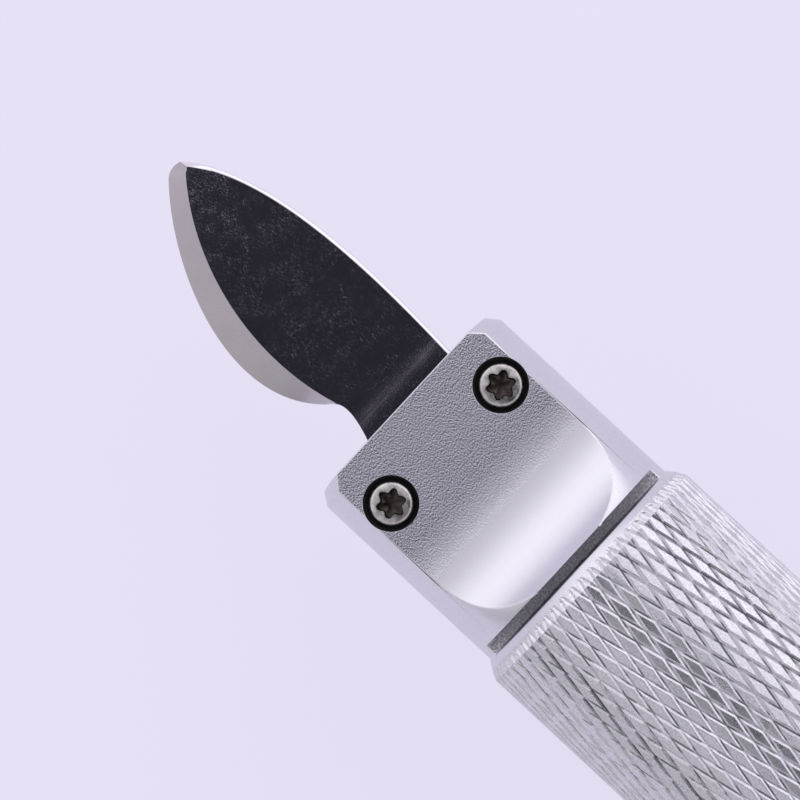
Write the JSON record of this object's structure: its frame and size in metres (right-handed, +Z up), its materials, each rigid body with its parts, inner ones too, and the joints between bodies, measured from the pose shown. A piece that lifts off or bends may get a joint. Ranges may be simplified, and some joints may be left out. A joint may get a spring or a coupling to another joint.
{
  "type": "hobby craft knife",
  "caption": "Hobby craft knife with a short leaf-shaped bevelled blade clamped by screws in a slit turned head, a knurled round handle and a screw-on tail cap over a spare-blade store.",
  "frame": {"origin": "on the surface the knife lies on, under the middle of its length and width", "axes": "+X along the handle towards the blade tip, +Y towards the cutting edge, +Z up, towards the screw side of the head"},
  "size_m": [0.101, 0.016, 0.0159],
  "materials": {
    "satin_aluminium": "satin anodised, fine bead-blasted grain on the screw flat, diamond knurl on the grip",
    "cap_aluminium": "smooth satin anodised",
    "blade_steel": "polished faces with fine scratches, ground bevel",
    "screw_steel": "bright turned heads",
    "black_steel": "black oxide",
    "black_rubber": "matt",
    "holder_plastic": "moulded, matt",
    "key_steel": "black oxide"
  },
  "bodies": {
    "handle": {"handle_body": "satin_aluminium"},
    "blade": {"blade": "blade_steel"},
    "washer_left": {"washer_left": "black_steel"},
    "screw_left": {"clamp_screw_left": "screw_steel"},
    "washer_right": {"washer_right": "black_steel"},
    "screw_right": {"clamp_screw_right": "screw_steel"},
    "seal": {"seal_ring": "black_rubber"},
    "cap": {"tail_cap": "cap_aluminium", "spare_holder": "holder_plastic", "spare_blade_1": "blade_steel", "spare_blade_2": "blade_steel", "spare_blade_3": "blade_steel", "torx_key": "key_steel"}
  },
  "joints": [
    {"name": "blade_slide", "type": "slide", "parent": "handle", "child": "blade", "axis": [1, 0, 0], "range_m": [0, 0.0095]},
    {"name": "screw_left_lift", "type": "slide", "parent": "handle", "child": "washer_left", "axis": [0, 0, 1], "range_m": [0, 0.00245]},
    {"name": "screw_left_turn", "type": "hinge", "parent": "washer_left", "child": "screw_left", "pos_m": [0.02793, 0.00453, 0.01093], "axis": [0, 0, 1], "range_deg": [0, 2520]},
    {"name": "screw_right_lift", "type": "slide", "parent": "handle", "child": "washer_right", "axis": [0, 0, 1], "range_m": [0, 0.00245]},
    {"name": "screw_right_turn", "type": "hinge", "parent": "washer_right", "child": "screw_right", "pos_m": [0.02793, -0.00453, 0.01093], "axis": [0, 0, 1], "range_deg": [0, 2520]},
    {"name": "cap_draw", "type": "slide", "parent": "handle", "child": "seal", "axis": [-1, 0, 0], "range_m": [0, 0.005]},
    {"name": "cap_turn", "type": "hinge", "parent": "seal", "child": "cap", "pos_m": [-0.038, 0, 0.00793], "axis": [-1, 0, 0], "range_deg": [0, 1800]}
  ],
  "couplings": [
    {"joint": "screw_left_turn", "follows": "screw_left_lift", "rad_per_m": 17952},
    {"joint": "screw_right_turn", "follows": "screw_right_lift", "rad_per_m": 17952},
    {"joint": "cap_draw", "follows": "cap_turn", "m_per_rad": 0.00015915}
  ]
}
